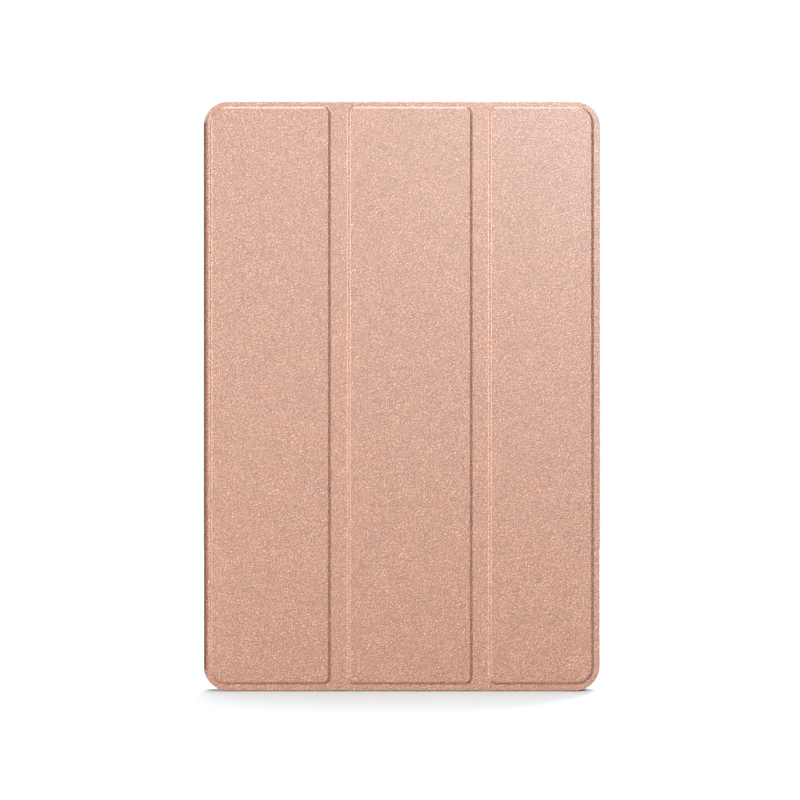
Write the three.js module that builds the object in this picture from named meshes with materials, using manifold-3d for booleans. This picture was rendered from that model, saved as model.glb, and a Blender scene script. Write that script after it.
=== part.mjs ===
// A tablet computer in a closed tri-fold folio, standing on its short edge.
// Millimetres. X runs to the right, Z runs up, and the cover faces -Y.
// The origin is at the middle of the bottom edge of the closed folio.
import * as THREE from "three";
import { mergeVertices } from "three/addons/utils/BufferGeometryUtils.js";
import Module from "manifold-3d";

// ---- Driving dimensions -------------------------------------------------------------------

// The closed folio as seen from the front.
const folio = {
  width: 168.6,
  height: 250.9,
  cornerRadius: 10.5,
  footClearance: 0.3, // the cover and the back leather end this far above the shell's foot
  rightOverhang: 0.35, // the cover reaches this far past the shell on the right
};

// The laminate, from the outside in.
const laminate = {
  leather: 0.7,
  board: 1.1,
  lining: 0.45,
  gap: 0.05, // between glued layers
  coverGap: 0.1, // between the closed cover and the shell's rim
};

// Magnets let into the boards: which panel, the middle in X from the folio's left edge,
// the middle in Z, the width and the length.
const magnets = {
  stand_magnet_1: { panel: 0, x: 8.5, z: 125, width: 6, length: 60 },
  stand_magnet_2: { panel: 2, x: 159.5, z: 95, width: 6, length: 60 },
  wake_magnet: { panel: 2, x: 159.5, z: 185, width: 6, length: 16 },
};

// The three raised panels, measured from the folio's left edge and from its foot and head.
const panels = {
  spans: [
    [2.8, 53.8],
    [61.6, 114.1],
    [121.6, 165.7],
  ],
  foot: 3.0,
  head: 2.2,
  foldRadius: 3.0, // corners next to a fold
  outerRadius: 7.0, // corners at the folio's own corners
  sideWall: 0.75, // from the board's edge to the outside of the raised leather
  flange: 0.9, // flat leather between a raised panel and the flexible fold
};

// The spine on the left, and the bent strips on each side of it.
const spine = {
  endInset: 9.2, // from the head or foot of the folio to the end of the spine
  bendRadius: 2.0,
  bendThickness: 1.1,
  board: 0.6,
  lining: 0.4,
  creaseInset: 0.86, // the bend turns about an axis this far inside its outer corner
  seam: 0.1, // between a bent strip and the pieces that it joins
};

const tablet = {
  width: 162,
  height: 247,
  depth: 7.0,
  cornerRadius: 8.5,
};

const shell = {
  wall: 1.6,
  floor: 1.2,
  clearance: 0.2, // all round the tablet
  lip: 0.45, // thickness of the rim that holds the tablet in
  lipReach: 1.0, // how far the rim reaches over the glass
};

// Depths inside the tablet, measured forward from its back face.
const depth = {
  floor: 0.9,
  link: [1.18, 1.32],
  board: [1.4, 2.2],
  battery: [1.1, 3.4],
  batteryBoard: [2.0, 3.0],
  batteryTail: [3.1, 3.25],
  onBoard: [2.25, 3.5],
  plug: [2.25, 3.6],
  microphone: [2.25, 3.3],
  antenna: [1.1, 3.5],
  speaker: [1.0, 3.6],
  tray: [2.6, 3.3],
  keyStrip: [2.3, 3.4],
  keyFoot: [2.4, 3.2],
  displayTail: [3.52, 3.64],
  plate: [3.7, 4.2],
  backlight: [4.25, 5.25],
  lcd: [5.3, 6.2],
  frontCamera: [2.3, 6.15],
  rearCamera: [0.95, 3.6],
  speakerSlot: [1.7, 2.9],
  glass: [6.25, 7.0],
  rim: 6.75,
  keys: 2.9, // the middle of the keys and the card tray
};

// Places inside the tablet: u from and to across, w from and to upwards from its foot.
const inside = {
  lcd: [-73, 73, 7.5, 239.5],
  batteryCells: [
    [-62, -2.5, 62, 190],
    [-1.5, 58, 62, 190],
  ],
  batteryBoard: [-24, 20, 190.5, 196],
  batteryTail: [-6, 4, 196.2, 205],
  batteryPlug: [-5, 3, 201, 205],
  boardUpright: [61, 77.5, 100, 218],
  boardAcross: [-10, 62, 200, 228],
  boardCorner: [58, 80, 219, 240], // cut away for the rear camera
  processorShield: [36, 60, 203, 226],
  memoryShield: [62.5, 75.5, 165, 192],
  usbBoard: [-24, 24, 2, 16],
  linkAcross: [14, 74, 11, 15],
  linkUpright: [71.5, 76, 11, 106],
  displayTail: [20, 34, 12, 204],
  displayPlug: [22, 32, 201, 204.5],
  cardCage: [62, 78.2],
  speakers: [
    [-72, -40, 1.8, 15],
    [40, 67, 1.8, 10.8],
    [-72, -40, 232, 245.2],
    [40, 72, 233.5, 245.2],
  ],
  antennas: [
    [-36, -4, 239, 245],
    [2, 34, 239, 245],
  ],
  microphones: [
    [9, 12.5, 2.6, 5.2],
    [12, 15.5, 223.5, 226.1],
  ],
  screws: [
    [4, 214],
    [69, 108],
    [-18, 9],
    [18, 9],
  ],
};

const housing = {
  wall: 1.4,
  glassGap: 0.1,
  plateInset: 3, // the middle plate is this much smaller than the tablet all round
  speakerMiddle: 56, // the speakers' slots are this far left and right of the middle
  speakerSlot: 20,
};

// Heights along the right long side, from the tablet's foot.
const side = {
  power: [212, 222],
  volume: [180, 202],
  tray: [143, 157],
  frontCamera: [120.5, 126.5],
};

const key = {
  halfThick: 0.9,
  proud: 0.45, // how far a key stands out of the housing
  play: 0.2, // round the key in its slot
  flange: 0.6,
  flangeReach: 0.8, // past the key's ends
  flangeLip: 0.3, // past the key's sides
  flangeInset: 0.3, // from the housing's inner wall to the flange
  stub: 0.45, // the foot that presses the switch
  footInset: 3, // from the end of the volume key to its foot
  strip: [77.75, 77.9], // the strip that carries the switches
};

const tray = { from: 63.3, halfHead: 0.8, endPlay: 0.15, cardFrom: 66, cardTo: 76, rail: 2 };

const rearCamera = {
  u: 66,
  w: 227.5,
  halfBody: 5,
  hole: 4.1,
  barrel: 3.9,
  barrelProud: 0.3,
  lens: 3.4,
  lensPlace: [0.35, 0.65],
  ring: 5.6,
  ringPlace: [0.05, 0.7],
};
const frontCamera = { from: 74, to: 79, notch: 73.5, room: 1 };

const usb = {
  halfWidth: 4.5,
  halfHeight: 1.6,
  radius: 1.4,
  mouth: 0.3,
  length: 7.2,
  middle: 3.55, // depth of its middle
  wall: 0.3,
  tongueHalf: [3.3, 0.35],
  notch: [6, 8.7], // room for it in the middle plate: half width and height
  boardNotch: [5, 8.2],
};

const screw = { headRadius: 1.5, head: 0.5, shaftRadius: 0.7, holeRadius: 0.85, bite: 0.55 };

// Openings in the shell, by depth from the tablet's back face.
const shellWindow = {
  reach: 3, // past the keys or the tray, up and down
  keyDepth: [1.0, 4.8],
  portHalfWidth: 9,
  portDepth: [0.8, 6.2],
  speakerHalfWidth: 13,
  speakerDepth: [1.0, 4.4],
  camera: 17,
  cameraRadius: 5,
};

const arcSteps = 8;

// ---- Places worked out from the dimensions ------------------------------------------------

const left = -folio.width / 2;
const right = folio.width / 2;

// Layers in Y, from the back of the folio to its front.
const stack =
  2 * laminate.leather +
  shell.floor +
  tablet.depth +
  shell.lip +
  laminate.lining +
  laminate.board +
  5 * laminate.gap +
  laminate.coverGap;
const backFace = stack / 2;
const shellBack = backFace - laminate.leather - laminate.gap;
const shellFloor = shellBack - shell.floor;
const tabletBack = shellFloor - laminate.gap;
const tabletFront = tabletBack - tablet.depth;
const shellFront = tabletFront - laminate.gap - shell.lip;
const liningBack = shellFront - laminate.coverGap;
const liningFront = liningBack - laminate.lining;
const boardBack = liningFront - laminate.gap;
const boardFront = boardBack - laminate.board;
const baseFront = boardBack - laminate.leather;
const frontFace = -backFace;

// The shell and the tablet in it.
const margin = shell.wall + shell.clearance;
const shellRight = right - folio.rightOverhang;
const shellLeft = shellRight - tablet.width - 2 * margin;
const shellHeight = tablet.height + 2 * margin;
const tabletMiddle = (shellLeft + shellRight) / 2;

// The sheets of the folio, and the bends at its left edge.
const sheetFoot = folio.footClearance;
const sheetHead = folio.height;
const bendCentre = left + spine.bendRadius;
const sheetLeft = bendCentre + spine.seam;
const spineFoot = spine.endInset;
const spineHead = folio.height - spine.endInset;

// The vertical lines that the cover turns about, as X and Y. A fold closes on the raised faces,
// so its line lies just in front of them.
const foldLine = frontFace - laminate.gap / 2;
const hingeLines = {
  spine_hinge: [left + spine.creaseInset, backFace - spine.creaseInset],
  cover_hinge: [left + spine.creaseInset, baseFront + spine.creaseInset],
  fold_1: [left + (panels.spans[0][1] + panels.spans[1][0]) / 2, foldLine],
  fold_2: [left + (panels.spans[1][1] + panels.spans[2][0]) / 2, foldLine],
};

// ---- Making solids ------------------------------------------------------------------------

const wasm = await Module();
wasm.setup();

function solid(geometry) {
  const bare = geometry.index ? geometry.toNonIndexed() : geometry.clone();
  bare.deleteAttribute("normal");
  bare.deleteAttribute("uv");
  const merged = mergeVertices(bare, 1e-4);
  const vertProperties = merged.attributes.position.array;
  const triVerts = new Uint32Array(merged.index.array);
  return new wasm.Manifold(new wasm.Mesh({ numProp: 3, vertProperties, triVerts }));
}

function geometryOf(body) {
  const mesh = body.getMesh();
  const geometry = new THREE.BufferGeometry();
  geometry.setAttribute("position", new THREE.BufferAttribute(mesh.vertProperties, 3));
  geometry.setIndex(new THREE.BufferAttribute(mesh.triVerts, 1));
  const faceted = geometry.toNonIndexed();
  faceted.computeVertexNormals();
  return faceted;
}

// A rectangle in X and Z with its own radius at each corner:
// foot left, foot right, head right, head left.
function roundedRectangle(x0, x1, z0, z1, radii) {
  const [footLeft, footRight, headRight, headLeft] = radii;
  const quarter = Math.PI / 2;
  const outline = new THREE.Shape();
  outline.moveTo(x0 + footLeft, z0);
  outline.lineTo(x1 - footRight, z0);
  outline.absarc(x1 - footRight, z0 + footRight, footRight, -quarter, 0, false);
  outline.lineTo(x1, z1 - headRight);
  outline.absarc(x1 - headRight, z1 - headRight, headRight, 0, quarter, false);
  outline.lineTo(x0 + headLeft, z1);
  outline.absarc(x0 + headLeft, z1 - headLeft, headLeft, quarter, 2 * quarter, false);
  outline.lineTo(x0, z0 + footLeft);
  outline.absarc(x0 + footLeft, z0 + footLeft, footLeft, 2 * quarter, 3 * quarter, false);
  return outline;
}

// An outline in X and Z, given thickness from yFront to yBack.
function sheet(outline, yFront, yBack, curveSegments = arcSteps) {
  const options = { depth: yBack - yFront, bevelEnabled: false, curveSegments };
  const geometry = new THREE.ExtrudeGeometry(outline, options);
  const upright = new THREE.Matrix4();
  upright.set(1, 0, 0, 0, 0, 0, -1, yBack, 0, 1, 0, 0, 0, 0, 0, 1);
  return solid(geometry.applyMatrix4(upright));
}

function roundedPlate(x0, x1, z0, z1, radius, yFront, yBack, steps = arcSteps) {
  const outline = roundedRectangle(x0, x1, z0, z1, [radius, radius, radius, radius]);
  return sheet(outline, yFront, yBack, steps);
}

function block(x0, x1, y0, y1, z0, z1) {
  const geometry = new THREE.BoxGeometry(x1 - x0, y1 - y0, z1 - z0);
  geometry.translate((x0 + x1) / 2, (y0 + y1) / 2, (z0 + z1) / 2);
  return solid(geometry);
}

// A round disc or pin whose axis runs along Y.
function disc(x, z, radius, y0, y1, sides = 24) {
  const geometry = new THREE.CylinderGeometry(radius, radius, y1 - y0, sides);
  geometry.translate(x, (y0 + y1) / 2, z);
  return solid(geometry);
}

// An outline in X and Y, given height from z0 to z1.
function column(outline, z0, z1) {
  const options = { depth: z1 - z0, bevelEnabled: false, curveSegments: arcSteps };
  const geometry = new THREE.ExtrudeGeometry(outline, options);
  return solid(geometry.translate(0, 0, z0));
}

// Inside the tablet: a block at its place across and upwards, with its depths.
function unit([u0, u1, w0, w1], [d0, d1]) {
  return block(u0, u1, -d1, -d0, w0, w1);
}

function material(color, roughness, metalness = 0) {
  return new THREE.MeshStandardMaterial({ color, roughness, metalness });
}

const finish = {
  leather: material(0xd9ab93, 0.55, 0.1),
  lining: material(0x8d7c74, 0.95),
  board: material(0xb9aa93, 0.9),
  shell: material(0xc79a86, 0.5),
  magnet: material(0x9a9a9c, 0.35, 0.9),
  glass: material(0x0b0c0e, 0.06),
  panel: material(0x1b1d22, 0.3),
  backlight: material(0xe9ebee, 0.6),
  steel: material(0xa7a9ac, 0.35, 0.9),
  aluminium: material(0xb9bbc0, 0.38, 0.85),
  pouch: material(0x33363b, 0.5, 0.2),
  circuit: material(0x1d4a36, 0.6),
  flex: material(0xb5722c, 0.55),
  plastic: material(0x202124, 0.6),
  lens: material(0x101522, 0.04),
};

const model = new THREE.Group();
const folioGroup = new THREE.Group();
const tabletGroup = new THREE.Group();
tabletGroup.position.set(tabletMiddle, tabletBack, margin);
model.add(folioGroup, tabletGroup);

function place(group, name, body, look) {
  const mesh = new THREE.Mesh(geometryOf(body), look);
  mesh.name = name;
  group.add(mesh);
}

// ---- The folio ----------------------------------------------------------------------------

const corner = folio.cornerRadius;

// A sheet with the folio's whole outline, notched on the left where the spine is.
function wholeSheet(rightEdge, yFront, yBack) {
  const full = roundedPlate(left, rightEdge, sheetFoot, sheetHead, corner, yFront, yBack);
  const seam = spine.seam;
  const notch = block(left - 1, sheetLeft, yFront - 1, yBack + 1, spineFoot - seam, spineHead + seam);
  return full.subtract(notch);
}

function crossesX(x0, x1) {
  return block(x0, x1, frontFace - 5, backFace + 5, -5, folio.height + 5);
}

// Where each panel's flat sheet starts and ends, from one fold to the next.
function panelSheetSpan(index) {
  const [start, end] = panels.spans[index];
  const from = index === 0 ? left - 1 : left + start - panels.flange;
  const to = index === 2 ? right + 1 : left + end + panels.flange;
  return [from, to];
}

function panelRadii(index) {
  const start = index === 0 ? panels.outerRadius : panels.foldRadius;
  const end = index === 2 ? panels.outerRadius : panels.foldRadius;
  return [start, end, end, start];
}

// A raised panel's outline, drawn in from its outside by inset.
function panelOutline(index, inset) {
  const [start, end] = panels.spans[index];
  const foot = sheetFoot + panels.foot + inset;
  const head = sheetHead - panels.head - inset;
  const radii = panelRadii(index).map((radius) => radius - inset);
  return roundedRectangle(left + start + inset, left + end - inset, foot, head, radii);
}

// Leather formed over the board, with the board's pocket open at the back.
function coverLeather(index) {
  const [from, to] = panelSheetSpan(index);
  const flat = wholeSheet(right, baseFront, boardBack).intersect(crossesX(from, to));
  const raised = sheet(panelOutline(index, 0), frontFace, boardBack);
  const pocketInset = panels.sideWall - laminate.gap;
  const pocket = sheet(panelOutline(index, pocketInset), boardFront - laminate.gap, boardBack + 1);
  return flat.add(raised).subtract(pocket);
}

function coverLining(index) {
  const [from, to] = panelSheetSpan(index);
  return wholeSheet(right, liningFront, liningBack).intersect(crossesX(from, to));
}

function magnetPlate({ x, z, width, length }, clearance, yFront, yBack) {
  const halfWidth = width / 2 + clearance;
  const halfLength = length / 2 + clearance;
  const middle = left + x;
  const [x0, x1] = [middle - halfWidth, middle + halfWidth];
  return block(x0, x1, yFront, yBack, z - halfLength, z + halfLength);
}

function coverBoard(index) {
  let board = sheet(panelOutline(index, panels.sideWall), boardFront, boardBack - laminate.gap);
  for (const magnet of Object.values(magnets)) {
    if (magnet.panel !== index) continue;
    board = board.subtract(magnetPlate(magnet, laminate.gap, boardFront - 1, boardBack + 1));
  }
  return board;
}

// The flat flexible strip between two panels.
function foldStrip(index) {
  const from = left + panels.spans[index][1] + panels.flange + spine.seam;
  const to = left + panels.spans[index + 1][0] - panels.flange - spine.seam;
  return block(from, to, baseFront, liningBack, sheetFoot, sheetHead);
}

// A quarter-round strip at the spine, in leather and lining together.
function bentStrip(centreY, startAngle) {
  const outline = new THREE.Shape();
  const endAngle = startAngle + Math.PI / 2;
  const inner = spine.bendRadius - spine.bendThickness;
  outline.absarc(bendCentre, centreY, spine.bendRadius, startAngle, endAngle, false);
  outline.absarc(bendCentre, centreY, inner, endAngle, startAngle, true);
  return column(outline, spineFoot, spineHead);
}

const frontBendY = baseFront + spine.bendRadius;
const backBendY = backFace - spine.bendRadius;

// One layer of the flat spine, from outside depth to inside depth.
function spineLayer(outside, inside) {
  const front = frontBendY + spine.seam;
  const back = backBendY - spine.seam;
  return block(left + outside, left + inside, front, back, spineFoot, spineHead);
}

// A block given from the tablet's foot, middle and back face, but in the folio's own frame.
function tabletWindow([u0, u1, w0, w1], depths) {
  return unit([u0, u1, w0, w1], depths).translate([tabletMiddle, tabletBack, margin]);
}

function cameraOpening(yFront, yBack) {
  const x = tabletMiddle + rearCamera.u;
  const z = margin + rearCamera.w;
  const half = shellWindow.camera / 2;
  const radius = shellWindow.cameraRadius;
  return roundedPlate(x - half, x + half, z - half, z + half, radius, yFront, yBack);
}

// Openings through the shell's walls for the keys, the card tray, the port and the speakers.
function shellWindows() {
  const outside = shell.wall + 1;
  const sill = 0.5;
  const wall = [tablet.width / 2, tablet.width / 2 + outside];
  const keyHeights = [side.volume[0] - shellWindow.reach, side.power[1] + shellWindow.reach];
  const trayHeights = [side.tray[0] - shellWindow.reach, side.tray[1] + shellWindow.reach];
  const portWidth = shellWindow.portHalfWidth;
  const windows = [
    tabletWindow([...wall, ...keyHeights], shellWindow.keyDepth),
    tabletWindow([...wall, ...trayHeights], shellWindow.keyDepth),
    tabletWindow([-portWidth, portWidth, -outside, sill], shellWindow.portDepth),
  ];
  for (const u of [-housing.speakerMiddle, housing.speakerMiddle]) {
    const width = [u - shellWindow.speakerHalfWidth, u + shellWindow.speakerHalfWidth];
    const head = [tablet.height - sill, tablet.height + outside];
    windows.push(tabletWindow([...width, -outside, sill], shellWindow.speakerDepth));
    windows.push(tabletWindow([...width, ...head], shellWindow.speakerDepth));
  }
  return windows;
}

// A plate with the shell's outline, drawn in by inset all round.
function shellPlate(inset, radius, yFront, yBack) {
  const [x0, x1] = [shellLeft + inset, shellRight - inset];
  return roundedPlate(x0, x1, inset, shellHeight - inset, radius, yFront, yBack);
}

function backShell() {
  const lipBack = tabletFront - laminate.gap;
  const pocketRadius = tablet.cornerRadius + shell.clearance;
  const openRadius = tablet.cornerRadius - shell.lipReach;
  const outer = shellPlate(0, tablet.cornerRadius + margin, shellFront, shellBack);
  const pocket = shellPlate(shell.wall, pocketRadius, lipBack, shellFloor);
  const open = shellPlate(margin + shell.lipReach, openRadius, shellFront - 1, lipBack + 1);
  let body = outer.subtract(pocket).subtract(open);
  for (const opening of shellWindows()) body = body.subtract(opening);
  return body.subtract(cameraOpening(shellFloor - 1, shellBack + 1));
}

function makeFolio() {
  place(folioGroup, "back_shell", backShell(), finish.shell);
  const backSheet = wholeSheet(shellRight, backFace - laminate.leather, backFace);
  const backWindow = cameraOpening(shellBack - 1, backFace + 1);
  place(folioGroup, "back_leather", backSheet.subtract(backWindow), finish.leather);
  place(folioGroup, "back_hinge", bentStrip(backBendY, Math.PI / 2), finish.leather);
  place(folioGroup, "front_hinge", bentStrip(frontBendY, Math.PI), finish.leather);
  const boardFrom = laminate.leather + laminate.gap;
  const liningFrom = boardFrom + spine.board + laminate.gap;
  place(folioGroup, "spine_leather", spineLayer(0, laminate.leather), finish.leather);
  place(folioGroup, "spine_board", spineLayer(boardFrom, boardFrom + spine.board), finish.board);
  place(folioGroup, "spine_lining", spineLayer(liningFrom, liningFrom + spine.lining), finish.lining);
  for (const index of [0, 1, 2]) {
    place(folioGroup, `cover_leather_${index + 1}`, coverLeather(index), finish.leather);
    place(folioGroup, `cover_board_${index + 1}`, coverBoard(index), finish.board);
    place(folioGroup, `cover_lining_${index + 1}`, coverLining(index), finish.lining);
  }
  for (const index of [0, 1]) {
    place(folioGroup, `fold_strip_${index + 1}`, foldStrip(index), finish.leather);
  }
  const [magnetFront, magnetBack] = [boardFront + laminate.gap, boardBack - laminate.gap];
  for (const [name, magnet] of Object.entries(magnets)) {
    place(folioGroup, name, magnetPlate(magnet, 0, magnetFront, magnetBack), finish.magnet);
  }
}

// ---- The tablet ---------------------------------------------------------------------------
// Its own origin is the middle of its back face at the foot: u right, w up, depth forward.

const half = tablet.width / 2;
const innerHalf = half - housing.wall;

// A rounded plate inside the tablet, drawn in by inset all round.
function tabletPlate(inset, [d0, d1]) {
  const radius = tablet.cornerRadius - inset;
  return roundedPlate(-half + inset, half - inset, inset, tablet.height - inset, radius, -d1, -d0);
}

// The slot in the housing's right wall for a key or the card tray.
function sideSlot([w0, w1], halfThick) {
  const halfSlot = halfThick + key.play;
  const depths = [depth.keys - halfSlot, depth.keys + halfSlot];
  return unit([innerHalf - 1, half + 1, w0 - key.play, w1 + key.play], depths);
}

// The flat oval of the port, grown outwards by grow, from height w0 to w1.
function portTube(grow, w0, w1) {
  const width = usb.halfWidth + grow;
  const height = usb.halfHeight + grow;
  const radius = usb.radius + grow;
  const radii = [radius, radius, radius, radius];
  const [y0, y1] = [-usb.middle - height, -usb.middle + height];
  return column(roundedRectangle(-width, width, y0, y1, radii), w0, w1);
}

function speakerSlots() {
  const slots = [];
  const through = housing.wall + 0.3;
  for (const u of [-housing.speakerMiddle, housing.speakerMiddle]) {
    const width = [u - housing.speakerSlot / 2, u + housing.speakerSlot / 2];
    const head = [tablet.height - through, tablet.height + 1];
    slots.push(unit([...width, -1, through], depth.speakerSlot));
    slots.push(unit([...width, ...head], depth.speakerSlot));
  }
  return slots;
}

function rearHousing() {
  const innerFloor = -depth.floor;
  const hollow = tabletPlate(housing.wall, [depth.floor, depth.rim + 1]);
  const lensHole = disc(rearCamera.u, rearCamera.w, rearCamera.hole, innerFloor - 1, 1);
  const cuts = [
    hollow,
    lensHole,
    sideSlot(side.power, key.halfThick),
    sideSlot(side.volume, key.halfThick),
    sideSlot(side.tray, tray.halfHead),
    portTube(0.1, -1, housing.wall + 0.5),
    ...speakerSlots(),
    ...inside.screws.map(([u, w]) => screwHole(u, w, innerFloor - 1, innerFloor + screw.bite + 0.1)),
  ];
  return cuts.reduce((body, cut) => body.subtract(cut), tabletPlate(0, [0, depth.rim]));
}

function screwHole(u, w, y0, y1) {
  return disc(u, w, screw.holeRadius, y0, y1, 12);
}

function drilled(board) {
  const [d0, d1] = depth.board;
  return inside.screws.reduce(
    (body, [u, w]) => body.subtract(screwHole(u, w, -d1 - 1, -d0 + 1)),
    board,
  );
}

function midPlate() {
  const through = [depth.plate[0] - 1, depth.plate[1] + 1];
  const [notchHalf, notchTop] = usb.notch;
  const [w0, w1] = side.frontCamera;
  const portNotch = unit([-notchHalf, notchHalf, 0, notchTop], through);
  const eye = [frontCamera.notch, half, w0 - frontCamera.room, w1 + frontCamera.room];
  const plate = tabletPlate(housing.plateInset, depth.plate);
  return plate.subtract(portNotch).subtract(unit(eye, through));
}

function mainBoard() {
  const upright = unit(inside.boardUpright, depth.board);
  const across = unit(inside.boardAcross, depth.board);
  const corner = unit(inside.boardCorner, [0, depth.plate[0]]);
  return drilled(upright.add(across).subtract(corner));
}

function usbBoard() {
  const [notchHalf, notchTop] = usb.boardNotch;
  const notch = unit([-notchHalf, notchHalf, 0, notchTop], [0, depth.plate[0]]);
  return drilled(unit(inside.usbBoard, depth.board).subtract(notch));
}

function usbReceptacle() {
  const [tongueHalf, tongueThick] = usb.tongueHalf;
  const tongueDepths = [usb.middle - tongueThick, usb.middle + tongueThick];
  const can = portTube(0, usb.mouth, usb.length);
  const mouth = portTube(-usb.wall, 0, usb.length - 1);
  const tongue = unit([-tongueHalf, tongueHalf, usb.mouth + 1, usb.length - 0.5], tongueDepths);
  return can.subtract(mouth).add(tongue);
}

function cardReader() {
  const [w0, w1] = side.tray;
  const [cageFrom, cageTo] = inside.cardCage;
  const [d0, d1] = depth.tray;
  const play = tray.endPlay;
  const cage = unit([cageFrom, cageTo, w0 - 1, w1 + 1], depth.plug);
  const slot = unit([cageFrom + 1, cageTo + 1, w0 - play, w1 + play], [d0 - 0.1, d1 + 0.1]);
  return cage.subtract(slot);
}

function cardTray() {
  const [w0, w1] = side.tray;
  const headDepths = [depth.keys - tray.halfHead, depth.keys + tray.halfHead];
  const plate = unit([tray.from, innerHalf + 0.3, w0 + 0.1, w1 - 0.1], depth.tray);
  const card = unit([tray.cardFrom, tray.cardTo, w0 + tray.rail, w1 - tray.rail], depth.plug);
  const head = unit([innerHalf + 0.1, half, w0, w1], headDepths);
  return plate.subtract(card).add(head);
}

// A key with a flange that keeps it in the housing and feet that press its switches.
function sideKey([w0, w1], feet) {
  const [d0, d1] = [depth.keys - key.halfThick, depth.keys + key.halfThick];
  const flangeOut = innerHalf - key.flangeInset;
  const flangeIn = flangeOut - key.flange;
  const cap = unit([flangeIn, half + key.proud, w0, w1], [d0, d1]);
  const flangeHeights = [w0 - key.flangeReach, w1 + key.flangeReach];
  const flangeDepths = [d0 - key.flangeLip, d1 + key.flangeLip];
  let body = cap.add(unit([flangeIn, flangeOut, ...flangeHeights], flangeDepths));
  for (const w of feet) {
    const foot = unit([flangeIn - key.stub, flangeIn + 0.1, w - 1, w + 1], depth.keyFoot);
    body = body.add(foot);
  }
  return body;
}

// A flexible circuit's tail with a plug at one end of it.
function plugTail(tailPlace, tailDepths, plugPlace, plugDepths) {
  return unit(tailPlace, tailDepths).add(unit(plugPlace, plugDepths));
}

function cameraRing() {
  const [y0, y1] = rearCamera.ringPlace;
  const outer = disc(rearCamera.u, rearCamera.w, rearCamera.ring, y0, y1, 48);
  const bore = disc(rearCamera.u, rearCamera.w, rearCamera.barrel + 0.1, y0 - 1, y1 + 1, 48);
  return outer.subtract(bore);
}

function rearCameraModule() {
  const { u, w, halfBody, barrel, barrelProud } = rearCamera;
  const body = unit([u - halfBody, u + halfBody, w - halfBody, w + halfBody], depth.rearCamera);
  return body.add(disc(u, w, barrel, -depth.floor - 0.5, barrelProud));
}

function boardScrew(u, w) {
  const seat = -depth.board[1] - 0.02;
  const tip = -depth.floor + screw.bite;
  const profile = [
    [0, seat - screw.head],
    [screw.headRadius, seat - screw.head],
    [screw.headRadius, seat],
    [screw.shaftRadius, seat],
    [screw.shaftRadius, tip],
    [0, tip],
  ].map(([x, y]) => new THREE.Vector2(x, y));
  return solid(new THREE.LatheGeometry(profile, 12).translate(u, 0, w));
}

function makeDisplay() {
  const glassInset = housing.wall + housing.glassGap;
  place(tabletGroup, "cover_glass", tabletPlate(glassInset, depth.glass), finish.glass);
  place(tabletGroup, "lcd_cell", unit(inside.lcd, depth.lcd), finish.panel);
  place(tabletGroup, "backlight_unit", unit(inside.lcd, depth.backlight), finish.backlight);
  place(tabletGroup, "mid_plate", midPlate(), finish.steel);
}

function makePower() {
  inside.batteryCells.forEach((cell, index) => {
    place(tabletGroup, `battery_cell_${index + 1}`, unit(cell, depth.battery), finish.pouch);
  });
  const board = unit(inside.batteryBoard, depth.batteryBoard);
  place(tabletGroup, "battery_board", board, finish.circuit);
  const tail = plugTail(inside.batteryTail, depth.batteryTail, inside.batteryPlug, depth.microphone);
  place(tabletGroup, "battery_flex", tail, finish.flex);
}

function makeBoards() {
  place(tabletGroup, "main_board", mainBoard(), finish.circuit);
  const processorShield = unit(inside.processorShield, depth.onBoard);
  place(tabletGroup, "processor_shield", processorShield, finish.steel);
  place(tabletGroup, "memory_shield", unit(inside.memoryShield, depth.onBoard), finish.steel);
  place(tabletGroup, "usb_board", usbBoard(), finish.circuit);
  place(tabletGroup, "usb_receptacle", usbReceptacle(), finish.steel);
  place(tabletGroup, "card_reader", cardReader(), finish.steel);
  inside.screws.forEach(([u, w], index) => {
    place(tabletGroup, `board_screw_${index + 1}`, boardScrew(u, w), finish.steel);
  });
}

function makeFlexes() {
  const link = plugTail(inside.linkAcross, depth.link, inside.linkUpright, depth.link);
  place(tabletGroup, "board_link_flex", link, finish.flex);
  const display = plugTail(inside.displayTail, depth.displayTail, inside.displayPlug, depth.plug);
  place(tabletGroup, "display_flex", display, finish.flex);
  const switchHeights = [side.volume[0] - 2, side.power[1] + 2];
  const switches = unit([...key.strip, ...switchHeights], depth.keyStrip);
  place(tabletGroup, "button_flex", switches, finish.flex);
}

function makeSoundAndRadio() {
  const kinds = [
    ["speaker", inside.speakers, depth.speaker, finish.plastic],
    ["antenna", inside.antennas, depth.antenna, finish.plastic],
    ["microphone", inside.microphones, depth.microphone, finish.steel],
  ];
  for (const [kind, places, depths, look] of kinds) {
    places.forEach((where, index) => {
      place(tabletGroup, `${kind}_${index + 1}`, unit(where, depths), look);
    });
  }
}

function makeCameras() {
  const eye = unit([frontCamera.from, frontCamera.to, ...side.frontCamera], depth.frontCamera);
  place(tabletGroup, "front_camera", eye, finish.plastic);
  place(tabletGroup, "rear_camera_module", rearCameraModule(), finish.plastic);
  const lens = disc(rearCamera.u, rearCamera.w, rearCamera.lens, ...rearCamera.lensPlace);
  place(tabletGroup, "rear_camera_lens", lens, finish.lens);
  place(tabletGroup, "rear_camera_ring", cameraRing(), finish.aluminium);
}

function makeKeys() {
  const [powerFoot, powerHead] = side.power;
  const [volumeFoot, volumeHead] = side.volume;
  const powerKey = sideKey(side.power, [(powerFoot + powerHead) / 2]);
  place(tabletGroup, "power_button", powerKey, finish.aluminium);
  const volumeKey = sideKey(side.volume, [volumeFoot + key.footInset, volumeHead - key.footInset]);
  place(tabletGroup, "volume_rocker", volumeKey, finish.aluminium);
  place(tabletGroup, "card_tray", cardTray(), finish.aluminium);
}

function makeTablet() {
  place(tabletGroup, "rear_housing", rearHousing(), finish.aluminium);
  makeDisplay();
  makePower();
  makeBoards();
  makeFlexes();
  makeSoundAndRadio();
  makeCameras();
  makeKeys();
}

makeFolio();
makeTablet();
model.userData.hingeLines = hingeLines;

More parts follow.
